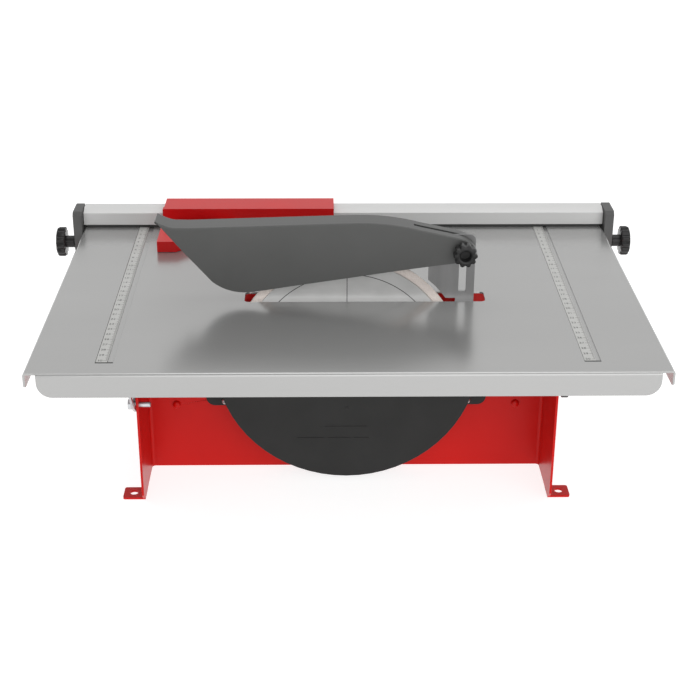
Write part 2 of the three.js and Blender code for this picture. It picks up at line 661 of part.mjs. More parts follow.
// Right hand bracket: flange under the table, hinge hole, curved strap with its slot
function tiltBracket(clamp) {
  const x0 = BRACKET_X;
  const x1 = BRACKET_X + BRACKET_T;
  const top = TABLE_TOP - TABLE_T - GAP;
  const bolt = CLAMP_ANGLE;
  const end = bolt - TILT;
  const half = STRAP_W / 2;
  const [cy, cz] = clampAt(clamp);
  const slotR = CLAMP_R + GAP;
  const at = (a) => [PIVOT_Y + clamp.reach * Math.cos(a), PIVOT_Z + clamp.reach * Math.sin(a)];
  const far = at(end);
  const strap = alongX(sector(clamp.reach - half, clamp.reach + half, bolt, -Math.PI, 10), x0, x1);
  const slot = alongX(sector(clamp.reach - slotR, clamp.reach + slotR, bolt, end, 10), x0 - PAST, x1 + PAST);
  const leg = box(x0, x1, PIVOT_Y - clamp.reach - half, PIVOT_Y - clamp.reach + half, PIVOT_Z - PAST, top);
  const bandLow = PIVOT_Z - BRACKET_BAND / 2;
  return cut(
    join(strap, leg, cylX(half, x0, x1, cy, cz, SMALL),
      box(x0, x1, BRACKET_FRONT, BRACKET_BACK, bandLow, top),
      box(x0, x0 + BRACKET_FLANGE, BRACKET_FRONT, BRACKET_BACK, top - BRACKET_T, top)),
    slot, cylX(slotR, x0 - PAST, x1 + PAST, cy, cz, SMALL),
    cylX(slotR, x0 - PAST, x1 + PAST, far[0], far[1], SMALL),
    cylX(PIVOT_R + GAP, x0 - PAST, x1 + PAST, PIVOT_Y, PIVOT_Z, SMALL));
}

// Shoulder screw on the hinge line, nut inside the cheek
function pivotPin() {
  const out = BRACKET_X + BRACKET_T + GAP;
  const inn = STAND_X - SHEET - GAP;
  return turnedX([[0, inn - 5], [4.4, inn - 5], [4.4, inn], [PIVOT_R, inn], [PIVOT_R, out], [3.4, out],
    [3.4, out + 2.6], [2.8, out + 3], [0, out + 3]], PIVOT_Y, PIVOT_Z, SMALL);
}

const CLAMP_OUT = BRACKET_X + BRACKET_T + GAP;
const WASHER_T = 1.2;

function clampWasher(clamp) {
  const [y, z] = clampAt(clamp);
  return cut(cylX(5.6, CLAMP_OUT, CLAMP_OUT + WASHER_T, y, z, SMALL),
    cylX(CLAMP_R + GAP, CLAMP_OUT - PAST, CLAMP_OUT + WASHER_T + PAST, y, z, SMALL));
}

function clampBolt() {
  const [y, z] = clampAt(CLAMP_LEFT);
  const head = CLAMP_OUT + WASHER_T + GAP;
  return join(turnedX([[0, CLAMP_INSIDE], [CLAMP_R - 0.6, CLAMP_INSIDE], [CLAMP_R, CLAMP_INSIDE + 0.6],
    [CLAMP_R, head + 1], [0, head + 1]], y, z, SMALL), cylX(4.9, head, head + 3.6, y, z, 6));
}

function clampKnob() {
  const [y, z] = clampAt(CLAMP_RIGHT);
  const head = CLAMP_OUT + WASHER_T + GAP;
  const grip = alongX(lobed(11, 3, 5.5, 10), head, head + 6).translate([0, y, z]);
  return join(turnedX([[0, CLAMP_INSIDE + 4], [CLAMP_R, CLAMP_INSIDE + 4], [CLAMP_R, head], [5, head],
    [5, head + 4], [0, head + 4]], y, z, SMALL), grip);
}

// ---- fence ----

function fenceBar() {
  const y1 = FENCE_Y + FENCE_D;
  const g = FENCE_GROOVE;
  const outline = polygon([[FENCE_Y, FENCE_BOTTOM], [y1, FENCE_BOTTOM], [y1, g.z0], [g.y, g.z0], [g.y, g.z1],
    [y1, g.z1], [y1, FENCE_TOP], [FENCE_Y + FENCE_SLOPE.depth, FENCE_TOP], [FENCE_Y, FENCE_TOP - FENCE_SLOPE.drop]]);
  return alongX(outline, -FENCE_X, FENCE_X);
}

function fenceClamp() {
  const x0 = FENCE_X + 0.5;
  const front = CLAMP_BLOCK_FRONT;
  const back = FENCE_Y + FENCE_D;
  const top = FENCE_TOP + 0.5;
  const r = CLAMP_FOOT_R;
  const s = new THREE.Shape();
  s.moveTo(front, CLAMP_BLOCK_Z + r);
  s.absarc(front + r, CLAMP_BLOCK_Z + r, r, Math.PI, Math.PI * 1.5);
  s.lineTo(back - r, CLAMP_BLOCK_Z);
  s.absarc(back - r, CLAMP_BLOCK_Z + r, r, -Math.PI / 2, 0);
  s.lineTo(back, top).lineTo(front + CLAMP_CHAMFER, top).lineTo(front, top - CLAMP_CHAMFER);
  return cut(alongX(s, x0, CLAMP_BLOCK_X, 6),
    cylX(CLAMP_R + GAP, x0 - PAST, CLAMP_BLOCK_X + PAST, FENCE_KNOB_Y, FENCE_KNOB_Z, SMALL));
}

function fenceKnob() {
  const tip = TABLE_W / 2 + GAP;
  const near = CLAMP_BLOCK_X + GAP;
  const stem = turnedX([[0, tip], [CLAMP_R, tip], [CLAMP_R, near], [FENCE_NECK_R, near],
    [FENCE_NECK_R, FENCE_NECK_X + 1], [0, FENCE_NECK_X + 1]], FENCE_KNOB_Y, FENCE_KNOB_Z, 24);
  const grip = alongX(lobed(FENCE_KNOB_R, FENCE_FLUTES, 1.3, 5), FENCE_NECK_X, FENCE_KNOB_X - 1.5);
  const cap = turnedX([[0, FENCE_KNOB_X - 2], [FENCE_KNOB_R - 1.6, FENCE_KNOB_X - 2],
    [FENCE_KNOB_R - 1.6, FENCE_KNOB_X - 1.2], [FENCE_KNOB_R - 3, FENCE_KNOB_X], [0, FENCE_KNOB_X]],
  FENCE_KNOB_Y, FENCE_KNOB_Z, 28);
  return join(stem, grip.translate([0, FENCE_KNOB_Y, FENCE_KNOB_Z]), cap);
}

// ---- mitre guide ----

function guide() {
  const under = FENCE_TOP + 0.4;
  const rise = FENCE_Y - 0.4;
  const g = FENCE_GROOVE;
  const hookY = FENCE_Y + FENCE_D + 0.4;
  const plate = box(GUIDE_LEFT + 1.3, GUIDE_RIGHT, GUIDE_FRONT, GUIDE_BACK, under, GUIDE_TOP);
  const lip = box(GUIDE_LEFT + 1.3, GUIDE_RIGHT, GUIDE_FRONT, GUIDE_FRONT + 3, GUIDE_TOP - GUIDE_LIP, GUIDE_TOP);
  const hook = box(GUIDE_LEFT + 1.3, GUIDE_RIGHT, hookY, GUIDE_BACK, g.z0 + 0.4, GUIDE_TOP);
  const tongue = box(GUIDE_LEFT + 1.3, GUIDE_RIGHT, g.y + 1.4, hookY + 1, g.z0 + 0.4, g.z1 - 0.4);
  const low = TABLE_TOP + 0.4;
  const reach = rise - GUIDE_FOOT_FRONT;
  const right = GUIDE_LEFT + GUIDE_FOOT_W;
  const foot = alongZ(polygon([[GUIDE_LEFT, GUIDE_FOOT_FRONT], [right, GUIDE_FOOT_FRONT],
    [right + reach, rise], [GUIDE_LEFT, rise]]), low, low + GUIDE_FOOT_H);
  const hole = alongZ(polygon([[right - 3, GUIDE_FOOT_FRONT + 22], [right + reach - 28, rise - 8],
    [right - 3, rise - 8]]), low - PAST, low + GUIDE_FOOT_H + PAST);
  const web = box(GUIDE_LEFT, right + reach, GUIDE_FRONT + 1, rise, low + GUIDE_FOOT_H - PAST, GUIDE_TOP - 1);
  return cut(join(plate, lip, hook, tongue, cut(foot, hole), web),
    cylY(2.4, g.y - PAST, GUIDE_BACK + PAST, GUIDE_SCREW_X, (g.z0 + g.z1) / 2, SMALL));
}

function guideScrew() {
  const z = (FENCE_GROOVE.z0 + FENCE_GROOVE.z1) / 2;
  const grip = alongY(lobed(7, 12, 0.7, 3), GUIDE_BACK + GAP, GUIDE_BACK + 4)
    .translate([GUIDE_SCREW_X, 0, z]);
  return join(cylY(2, FENCE_GROOVE.y + GAP, GUIDE_BACK + 2, GUIDE_SCREW_X, z, 12), grip);
}

// ---- guard ----

function guardOutline() {
  const s = new THREE.Shape();
  const G = GUARD;
  const to = (p) => s.lineTo(p[0], p[1]);
  s.moveTo(G.lip[0], G.lip[1]);
  to(G.cheek);
  s.quadraticCurveTo(G.chin[0] - 10, G.chin[1] + 0.6, G.chin[0] + 8, G.chin[1]);
  to(G.jaw); to(G.floor); to(G.floorRear);
  s.lineTo(G.heelLow[0] - 12, G.heelLow[1] - 3.5);
  s.quadraticCurveTo(G.heelLow[0], G.heelLow[1], G.heel[0], G.heel[1] - 2);
  s.quadraticCurveTo(G.heel[0] - 1, G.heel[1] + 1.5, G.rear[0], G.rear[1]);
  to([62, 239.5]);
  s.quadraticCurveTo(48, 243.8, G.shoulder[0], G.shoulder[1]);
  to([17, 246.3]); to(G.crown); to([-133, 241.9]); to(G.brow); to(G.tip);
  return s;
}

function guard() {
  const y0 = BLADE_Y - GUARD_W / 2;
  const y1 = BLADE_Y + GUARD_W / 2;
  const outline = guardOutline();
  const whole = alongY(outline, y0, y1, 4);
  const inner = whole.intersect(
    box(-300, 300, y0 + GUARD_WALL, y1 - GUARD_WALL, 0, 400)).translate([0, 0, -GUARD_WALL]);
  const below = inner.translate([0, 0, -14]);
  const knife = box(GUARD_SLIT_X, 200, BLADE_Y - 2, BLADE_Y + 2, 100, 300);
  const clear = box(-300, 300, BLADE_Y + 4, y1 + PAST, 100, GUARD_BACK_FLOOR);
  const hollow = join(inner, below, inner.translate([0, 0, -28]));
  return cut(whole, hollow, knife, clear,
    cylY(GUARD_BOLT_R + GAP, y0 - PAST, y1 + PAST, BOLT_X, BOLT_Z, SMALL));
}

function guardBolt() {
  const front = BLADE_Y - GUARD_W / 2 - 8;
  const back = BLADE_Y + GUARD_W / 2 + GAP;
  return turnedY([[0, front], [GUARD_BOLT_R - 0.5, front], [GUARD_BOLT_R, front + 0.5],
    [GUARD_BOLT_R, back], [6, back], [5.4, back + 1.8], [3, back + 2.9], [0, back + 3.1]],
  BOLT_X, BOLT_Z, SMALL);
}

function guardSpacer(side) {
  const inner = KNIFE_T / 2 + GAP;
  const outer = GUARD_W / 2 - GUARD_WALL - GAP;
  const [y0, y1] = side < 0 ? [BLADE_Y - outer, BLADE_Y - inner] : [BLADE_Y + inner, BLADE_Y + outer];
  return cut(cylY(5.5, y0, y1, BOLT_X, BOLT_Z, SMALL),
    cylY(GUARD_BOLT_R + GAP, y0 - PAST, y1 + PAST, BOLT_X, BOLT_Z, SMALL));
}

function guardKnob() {
  const back = BLADE_Y - GUARD_W / 2 - GAP;
  const collar = cylY(5.6, back - 2.5, back, BOLT_X, BOLT_Z, 20);
  const grip = alongY(lobed(STAR_R, STAR_LOBES, 1.6, 5), back - 11.5, back - 2).translate([BOLT_X, 0, BOLT_Z]);
  const dish = cylY(5.2, back - 13, back - 8.5, BOLT_X, BOLT_Z, 20);
  const bore = cylY(GUARD_BOLT_R + GAP, back - 13, back + PAST, BOLT_X, BOLT_Z, SMALL);
  return cut(join(collar, grip), dish, bore);
}

// ---- assembly ----

add('front_stand', frontStand(), RED);
add('rear_stand', rearStand(), RED);
add('stand_bolt_left', tieBolt(-TIE_X), RED);
add('stand_bolt_right', tieBolt(TIE_X), RED);
add('blade_cover', bladeCover(), CHARCOAL);
earScrews().forEach((s, i) => add(`cover_screw_${i + 1}`, coverScrew(s), ZINC));

add('riving_knife', rivingKnife(), BLADE_STEEL);
KNIFE_SCREWS.forEach((s, i) => {
  add(`knife_spacer_${i + 1}`, knifeSpacer(s), ZINC);
  add(`knife_screw_${i + 1}`, knifeScrew(s), ZINC);
});

add('motor_front_bell', motorFrontBell(), CAST);
add('motor_can', motorCan(), BLACK);
add('motor_rear_bell', motorRearBell(), BLACK);
[[-1, -1], [1, -1], [-1, 1], [1, 1]].forEach(([sx, sz], i) => add(`motor_bolt_${i + 1}`, motorBolt(sx, sz), ZINC));
add('bearing_front', ring(BEARING_R, ARBOR_R + GAP, MOTOR_FACE, MOTOR_FACE + 8), ZINC);
add('bearing_rear', ring(BEARING_R, ARBOR_R + GAP, CAN_BACK + 3, MOTOR_END - MOTOR_WALL - GAP), ZINC);
add('stator', ring(MOTOR_R - MOTOR_WALL - GAP, STATOR_R, CORE_FRONT, CORE_BACK), COPPER);

add('shaft', shaft(), ZINC);
add('rotor_core', ring(STATOR_R - 1, ARBOR_R + 2 + GAP, CORE_FRONT, CORE_BACK), CAST);
add('fan', fan(), BLACK);
add('inner_flange', bladeFlange(BLADE_Y + CORE_T / 2 + GAP, BLADE_Y + CORE_T / 2 + GAP + BLADE_FLANGE_T,
  BLADE_Y + 8), ZINC);
add('blade_core', ring(BLADE_R - RIM_DEPTH - GAP, ARBOR_R + GAP, BLADE_Y - CORE_T / 2, BLADE_Y + CORE_T / 2,
  ROUND * 2), BLADE_STEEL);
add('blade_rim', ring(BLADE_R, BLADE_R - RIM_DEPTH, BLADE_Y - RIM_T / 2, BLADE_Y + RIM_T / 2, ROUND * 2), DIAMOND);
add('outer_flange', bladeFlange(BLADE_Y - CORE_T / 2 - GAP - BLADE_FLANGE_T, BLADE_Y - CORE_T / 2 - GAP,
  BLADE_Y - 5.2), ZINC);
add('blade_nut', hexNut(19, ARBOR_R + GAP, BLADE_Y - 10.6, BLADE_Y - 5.2 - GAP), ZINC);

add('switch_box', switchBox(), BLACK);
add('on_button', button(BUTTON_Z.on), GREEN);
add('off_button', button(BUTTON_Z.off), RED);
add('cable_gland', cableGland(), BLACK);

add('table', table(), SATIN_STEEL);
add('scale_left', scaleStrip(SCALES.left), SCALE_FACE);
add('scale_right', scaleStrip(SCALES.right), SCALE_FACE);
add('tilt_bracket_left', mirrored(tiltBracket(CLAMP_LEFT)), ZINC);
add('tilt_bracket_right', tiltBracket(CLAMP_RIGHT), ZINC);
add('pivot_screw_left', mirrored(pivotPin()), ZINC);
add('pivot_screw_right', pivotPin(), ZINC);
add('clamp_washer_left', mirrored(clampWasher(CLAMP_LEFT)), ZINC);
add('clamp_washer_right', clampWasher(CLAMP_RIGHT), ZINC);
add('tilt_bolt_left', mirrored(clampBolt()), ZINC);
add('tilt_knob_right', clampKnob(), BLACK);

add('fence_bar', fenceBar(), ALUMINIUM);
add('fence_clamp_left', mirrored(fenceClamp()), CHARCOAL);
add('fence_clamp_right', fenceClamp(), CHARCOAL);
add('fence_knob_left', mirrored(fenceKnob()), CHARCOAL);
add('fence_knob_right', fenceKnob(), CHARCOAL);
add('mitre_guide', guide(), RED);
add('guide_screw', guideScrew(), BLACK);

add('guard', guard(), GUARD_GREY);
add('guard_bolt', guardBolt(), ZINC);
add('guard_spacer_front', guardSpacer(-1), BLACK);
add('guard_spacer_back', guardSpacer(1), BLACK);
add('guard_knob', guardKnob(), CHARCOAL);

export default group;
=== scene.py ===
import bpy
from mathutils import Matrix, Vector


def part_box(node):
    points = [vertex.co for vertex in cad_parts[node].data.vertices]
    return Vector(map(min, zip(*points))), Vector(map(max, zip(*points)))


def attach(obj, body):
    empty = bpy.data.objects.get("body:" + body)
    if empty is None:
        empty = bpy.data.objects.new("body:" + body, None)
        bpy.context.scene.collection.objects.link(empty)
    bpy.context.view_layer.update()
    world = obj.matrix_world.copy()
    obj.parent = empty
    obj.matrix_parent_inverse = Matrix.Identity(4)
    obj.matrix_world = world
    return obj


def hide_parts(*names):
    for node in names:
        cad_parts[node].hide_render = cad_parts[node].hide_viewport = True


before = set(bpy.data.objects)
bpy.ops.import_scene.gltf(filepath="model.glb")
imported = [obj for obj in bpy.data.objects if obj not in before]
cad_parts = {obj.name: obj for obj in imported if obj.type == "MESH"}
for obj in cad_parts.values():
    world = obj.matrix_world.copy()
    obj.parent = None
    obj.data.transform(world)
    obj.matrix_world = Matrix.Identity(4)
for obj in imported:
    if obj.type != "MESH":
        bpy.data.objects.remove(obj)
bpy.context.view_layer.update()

import math

import bmesh
import bpy
from mathutils import Matrix, Vector

MM = 0.001


# ---- Folded stand ----
# Two channels of 2 mm steel sheet stand back to back, bolted through their walls. They are cut, punched
# and folded flat, then dipped in gloss red powder, which leaves a faint orange peel and soft edges.

def surface(name, pale, deep, patch, rough, metal=0.0, coat=0.0, grain=0.0, grain_size=1.0,
            stretch=(1, 1, 1), specular=0.5):
    """A finish whose colour and roughness drift in patches, with a fine grain; sizes in mm."""
    material = bpy.data.materials.new(name)
    material.use_nodes = True
    tree = material.node_tree
    shader = tree.nodes["Principled BSDF"]
    place = tree.nodes.new("ShaderNodeTexCoord")
    lie = tree.nodes.new("ShaderNodeMapping")
    lie.inputs["Scale"].default_value = stretch
    tree.links.new(place.outputs["Object"], lie.inputs["Vector"])
    patches = tree.nodes.new("ShaderNodeTexNoise")
    patches.inputs["Scale"].default_value = 1 / (patch * MM)
    patches.inputs["Detail"].default_value = 5
    tree.links.new(lie.outputs["Vector"], patches.inputs["Vector"])
    ramp = tree.nodes.new("ShaderNodeValToRGB")
    dark_stop, light_stop = ramp.color_ramp.elements
    dark_stop.position, light_stop.position = 0.3, 0.7
    dark_stop.color, light_stop.color = (*deep, 1), (*pale, 1)
    tree.links.new(patches.outputs["Fac"], ramp.inputs["Fac"])
    tree.links.new(ramp.outputs["Color"], shader.inputs["Base Color"])
    gloss = tree.nodes.new("ShaderNodeMapRange")
    gloss.inputs["To Min"].default_value, gloss.inputs["To Max"].default_value = rough
    tree.links.new(patches.outputs["Fac"], gloss.inputs["Value"])
    tree.links.new(gloss.outputs["Result"], shader.inputs["Roughness"])
    shader.inputs["Metallic"].default_value = metal
    shader.inputs["Coat Weight"].default_value = coat
    shader.inputs["Coat Roughness"].default_value = 0.12
    shader.inputs["Specular IOR Level"].default_value = specular
    if grain:
        fine = tree.nodes.new("ShaderNodeTexNoise")
        fine.inputs["Scale"].default_value = 1 / (grain_size * MM)
        fine.inputs["Detail"].default_value = 3
        tree.links.new(lie.outputs["Vector"], fine.inputs["Vector"])
        relief = tree.nodes.new("ShaderNodeBump")
        relief.inputs["Distance"].default_value = grain * MM
        relief.inputs["Strength"].default_value = 1
        tree.links.new(fine.outputs["Fac"], relief.inputs["Height"])
        tree.links.new(relief.outputs["Normal"], shader.inputs["Normal"])
    return material


def settle(piece, body, material, slot, *nodes):
    """Give a finished piece its coat and body and hide the solids that it stands for; slot is not used."""
    piece.data.materials.clear()
    piece.data.materials.append(material)
    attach(piece, body)
    if nodes:
        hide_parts(*nodes)
    return piece


def even_shading(piece, angle=35):
    """Smooth shading that keeps flat faces flat."""
    for face in piece.data.polygons:
        face.use_smooth = True
    piece.data.set_sharp_from_angle(angle=math.radians(angle))
    normals = piece.modifiers.new("even", "WEIGHTED_NORMAL")
    normals.keep_sharp = True


def round_edges(piece, width, steps=2, angle=32):
    """Rounds the edges sharper than the angle to a width in mm."""
    bevel = piece.modifiers.new("edges", "BEVEL")
    bevel.width = width * MM
    bevel.segments = steps
    bevel.limit_method = "ANGLE"
    bevel.angle_limit = math.radians(angle)
    bevel.use_clamp_overlap = True


def baked(piece):
    """Turns a piece's modifiers into plain mesh."""
    bpy.context.view_layer.update()
    done = bpy.data.meshes.new_from_object(piece.evaluated_get(bpy.context.evaluated_depsgraph_get()))
    piece.modifiers.clear()
    piece.data = done


def new_piece(name, mesh):
    """Puts a mesh into the scene under its own name."""
    piece = bpy.data.objects.new(name, mesh)
    bpy.context.scene.collection.objects.link(piece)
    return piece


def softened(node, name, body, width, material, slot, steps=2):
    """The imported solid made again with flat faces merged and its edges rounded."""
    sheet = bmesh.new()
    sheet.from_mesh(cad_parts[node].data)
    bmesh.ops.remove_doubles(sheet, verts=sheet.verts, dist=0.004 * MM)
    bmesh.ops.dissolve_limit(sheet, angle_limit=math.radians(0.6), verts=sheet.verts, edges=sheet.edges)
    mesh = bpy.data.meshes.new(name)
    sheet.to_mesh(mesh)
    sheet.free()
    if "custom_normal" in mesh.attributes:
        mesh.attributes.remove(mesh.attributes["custom_normal"])
    piece = new_piece(name, mesh)
    round_edges(piece, width, steps)
    baked(piece)
    even_shading(piece, 38)
    return settle(piece, body, material, slot, node)


red_powder = surface("red_powder", (0.56, 0.006, 0.004), (0.51, 0.005, 0.0035), 60, (0.26, 0.36),
                     grain=0.02, grain_size=1.6, specular=0.18)
for node, name in (("front_stand", "front_channel"), ("rear_stand", "rear_channel")):
    softened(node, name, "stand", 0.45, red_powder, "red_paint")

# The lower front corners of the front channel are cut off at a slant down to the feet.
TOE_Y, TOE_Z, TOE_CUT = -76, 2, 8
for corner in bpy.data.objects["front_channel"].data.vertices:
    if corner.co.y < MM * TOE_Y and corner.co.z < MM * TOE_Z:
        corner.co.z += MM * TOE_CUT


# ---- Tie bolts ----
# Two round-headed bolts and nuts join the walls of the two channels. They were fitted before the
# stand was painted, so the same red covers their heads.

def turned(name, profile, centre, steps=48):
    """A piece turned about a line from front to back: (radius, depth) pairs in mm, round the whole section."""
    sheet = bmesh.new()
    rings = []
    for radius, along in profile:
        ring = []
        for i in range(1 if radius == 0 else steps):
            a = 2 * math.pi * i / steps
            spot = (radius * math.sin(a), along, radius * math.cos(a))
            ring.append(sheet.verts.new([MM * (c + s) for c, s in zip(centre, spot)]))
        rings.append(ring)
    for low, high in zip(rings, rings[1:]):
        for i in range(steps):
            j = (i + 1) % steps
            corners = [low[i % len(low)], low[j % len(low)], high[j % len(high)], high[i % len(high)]]
            unique = list(dict.fromkeys(corners))
            if len(unique) > 2:
                sheet.faces.new(unique)
    mesh = bpy.data.meshes.new(name)
    bmesh.ops.recalc_face_normals(sheet, faces=sheet.faces)
    sheet.to_mesh(mesh)
    sheet.free()
    return new_piece(name, mesh)


TIE_X, TIE_Z, TIE_R, NUT_R = 153, 64, 2.6, 5.2
TIE_BOLT = [(0, -12.9), (1.6, -12.75), (2.8, -12.2), (3.5, -11.2), (3.6, -10.3), (TIE_R, -10.3),
            (TIE_R, -5.4), (NUT_R, -5.4), (NUT_R, -1.4), (TIE_R, -1.2), (TIE_R, 0.8), (0, 0.8)]
for side, x in (("left", -TIE_X), ("right", TIE_X)):
    head = turned(f"tie_bolt_{side}", TIE_BOLT, (x, 0, TIE_Z), steps=32)
    even_shading(head, 40)
    settle(head, "stand", red_powder, "red_paint", f"stand_bolt_{side}")


# ---- Water trough ----
# The lower blade cover is a half-moon tub moulded in charcoal polypropylene with a flange at the back,
# screwed to the front of the wall. Its skin is a fine spark texture; ribs stand in for the raised marks.

charcoal_plastic = surface("charcoal_plastic", (0.020, 0.020, 0.0195), (0.015, 0.015, 0.0145), 35,
                           (0.46, 0.58), grain=0.03, grain_size=0.5, specular=0.25)
softened("blade_cover", "water_trough", "stand", 0.9, charcoal_plastic, "charcoal_plastic", steps=3)


def bar(sheet, x0, x1, y0, y1, z0, z1):
    """Adds a closed box to a mesh in the making, in mm."""
    places = [(x, y, z) for x in (x0, x1) for y in (y0, y1) for z in (z0, z1)]
    corners = [sheet.verts.new([MM * c for c in place]) for place in places]
    for ring in ((0, 1, 3, 2), (4, 6, 7, 5), (0, 4, 5, 1), (2, 3, 7, 6), (0, 2, 6, 4), (1, 5, 7, 3)):
        sheet.faces.new([corners[i] for i in ring])


def finished(name, sheet, width=0.0):
    """Turns a mesh in the making into a piece, with its edges rounded if a width in mm is given."""
    bmesh.ops.recalc_face_normals(sheet, faces=sheet.faces)
    mesh = bpy.data.meshes.new(name)
    sheet.to_mesh(mesh)
    sheet.free()
    piece = new_piece(name, mesh)
    if width:
        round_edges(piece, width)
        baked(piece)
    even_shading(piece, 38)
    return piece


TROUGH_FACE, SUNK = -39, -38.9
LOW_RIB_Z, HIGH_RIB_Z, RIB_HALF, RIB_PROUD = 44.6, 56, 0.5, 0.35
ribs = bmesh.new()
for x0, x1, z in ((-44, -20, LOW_RIB_Z), (-17, 3, LOW_RIB_Z), (6, 20, LOW_RIB_Z), (-20, 18, HIGH_RIB_Z)):
    bar(ribs, x0, x1, TROUGH_FACE - RIB_PROUD, SUNK, z - RIB_HALF, z + RIB_HALF)
settle(finished("trough_ribs", ribs, 0.15), "stand", charcoal_plastic, "charcoal_plastic")
DOT_R, DOT_Z = 1.7, 74.5
DOT = [(0, TROUGH_FACE - 0.5), (1.1, TROUGH_FACE - 0.5), (DOT_R, TROUGH_FACE - 0.2), (DOT_R, SUNK), (0, SUNK)]
dot = turned("trough_gate_mark", DOT, (0, 0, DOT_Z), steps=24)
even_shading(dot)
settle(dot, "stand", charcoal_plastic, "charcoal_plastic")


# ---- Screws, spacers and washers of the stand ----
# Zinc-plated steel hardware: trough screws with a cross recess, motor and knife screws, hinge screws,
# and the washers of the tilt clamps. The plating is bright with a slightly cloudy, bluish cast.

zinc = surface("zinc_plate", (0.66, 0.67, 0.69), (0.48, 0.49, 0.50), 6, (0.26, 0.42), metal=1.0,
               grain=0.01, grain_size=0.6)


EAR_FACE, SHANK_R, SHANK = -13.1, 2.4, 8
CROSS_REACH, CROSS_HALF, CROSS_FRONT, LEVEL_DEEP, UPRIGHT_DEEP = 1.9, 0.35, -3, -1.1, -1.05


def cross_screw(name, x, z, face, node):
    """Round screw head with a cross cut in it, on a plain shank."""
    profile = [(0, -2.1), (1.2, -2.0), (2.4, -1.5), (3.0, -0.6), (3.1, 0), (SHANK_R, 0), (SHANK_R, SHANK),
               (0, SHANK)]
    head = turned(name, [(radius, face + along) for radius, along in profile], (x, 0, z), steps=32)
    cutter = bmesh.new()
    bar(cutter, x - CROSS_REACH, x + CROSS_REACH, face + CROSS_FRONT, face + LEVEL_DEEP,
        z - CROSS_HALF, z + CROSS_HALF)
    bar(cutter, x - CROSS_HALF, x + CROSS_HALF, face + CROSS_FRONT, face + UPRIGHT_DEEP,
        z - CROSS_REACH, z + CROSS_REACH)
    tool = finished(name + "_cutter", cutter)
    tool.hide_render = tool.hide_viewport = True
    hollow = head.modifiers.new("cross", "BOOLEAN")
    hollow.operation = "DIFFERENCE"
    hollow.object = tool
    hollow.use_self = True
    baked(head)
    bpy.data.objects.remove(tool)
    even_shading(head)
    return settle(head, "stand", zinc, "zinc", node)


LOW_SCREW, HIGH_SCREW = (109, 68.5), (120.6, 140)
screw_places = [(way * x, z) for way in (-1, 1) for x, z in (LOW_SCREW, HIGH_SCREW)]
for i, (x, z) in enumerate(screw_places, start=1):
    cross_screw(f"trough_screw_{i}", x, z, EAR_FACE, f"cover_screw_{i}")
for i in (1, 2, 3, 4):
    softened(f"motor_bolt_{i}", f"motor_screw_{i}", "stand", 0.3, zinc, "zinc")
for i in (1, 2):
    softened(f"knife_screw_{i}", f"knife_fixing_{i}", "stand", 0.3, zinc, "zinc")
    softened(f"knife_spacer_{i}", f"knife_collar_{i}", "stand", 0.3, zinc, "zinc")
for side in ("left", "right"):
    softened(f"pivot_screw_{side}", f"hinge_screw_{side}", "stand", 0.3, zinc, "zinc")
    softened(f"clamp_washer_{side}", f"washer_{side}", "stand", 0.2, zinc, "zinc")


# ---- Riving knife ----
# A 2 mm blanked steel plate behind the blade, bolted to the wall through two collars. A long slot takes
# the guard's bolt. The cold-rolled surface is dull grey with fine lines from rolling.

knife_steel = surface("knife_steel", (0.25, 0.25, 0.25), (0.20, 0.20, 0.20), 14, (0.36, 0.50), metal=0.85,
                      grain=0.012, grain_size=0.8, stretch=(1, 1, 0.15))
softened("riving_knife", "knife", "stand", 0.25, knife_steel, "knife_steel")


# ---- Motor ----
# Induction motor bolted behind the wall: cast front bell, black ribbed can with cooling slots, moulded
# rear bell with a vent grille. The wound stator and the bearings sit inside.

cast_alloy = surface("cast_alloy", (0.42, 0.43, 0.44), (0.30, 0.31, 0.32), 9, (0.45, 0.62), metal=0.9,
                     grain=0.09, grain_size=0.9)
black_enamel = surface("black_enamel", (0.022, 0.022, 0.023), (0.014, 0.014, 0.015), 30, (0.30, 0.44),
                       coat=0.25, grain=0.02, grain_size=1.2)
black_plastic = surface("black_plastic", (0.026, 0.026, 0.026), (0.017, 0.017, 0.017), 24, (0.38, 0.52),
                        grain=0.03, grain_size=0.5)
copper = surface("copper_winding", (0.55, 0.22, 0.09), (0.34, 0.12, 0.05), 2, (0.3, 0.5), metal=0.8,
                 grain=0.25, grain_size=1.0, stretch=(1, 0.2, 1))
bearing_steel = surface("bearing_steel", (0.60, 0.60, 0.61), (0.50, 0.50, 0.51), 5, (0.18, 0.30), metal=1.0,
                        grain=0.008, grain_size=0.4, stretch=(1, 8, 1))
softened("motor_front_bell", "front_bell", "stand", 0.6, cast_alloy, "cast_alloy")
softened("motor_can", "ribbed_can", "stand", 0.35, black_enamel, "black_paint")
softened("motor_rear_bell", "rear_bell", "stand", 0.7, black_plastic, "black_plastic")
softened("stator", "wound_stator", "stand", 0.8, copper, "copper")
for end in ("front", "rear"):
    softened(f"bearing_{end}", f"ball_bearing_{end}", "stand", 0.4, bearing_steel, "bearing_steel")


# ---- Rotor and arbor ----
# The motor's shaft carries its core and fan inside, and outside two turned steel flanges with a hexagon
# nut that clamp the blade. All of it turns together.

softened("rotor_core", "laminated_core", "rotor", 0.5, cast_alloy, "cast_alloy")
softened("fan", "cooling_fan", "rotor", 0.3, black_plastic, "black_plastic")
for node, name in (("shaft", "arbor_shaft"), ("inner_flange", "blade_flange_inner"),
                   ("outer_flange", "blade_flange_outer"), ("blade_nut", "arbor_nut")):
    softened(node, name, "rotor", 0.35, bearing_steel, "bearing_steel")


# ---- Diamond blade ----
# A ground steel disc of 200 mm with a continuous sintered rim. The core is pale grey from fine
# grinding and carries thin printed circles and spokes; the rim is beige, dry and gritty.

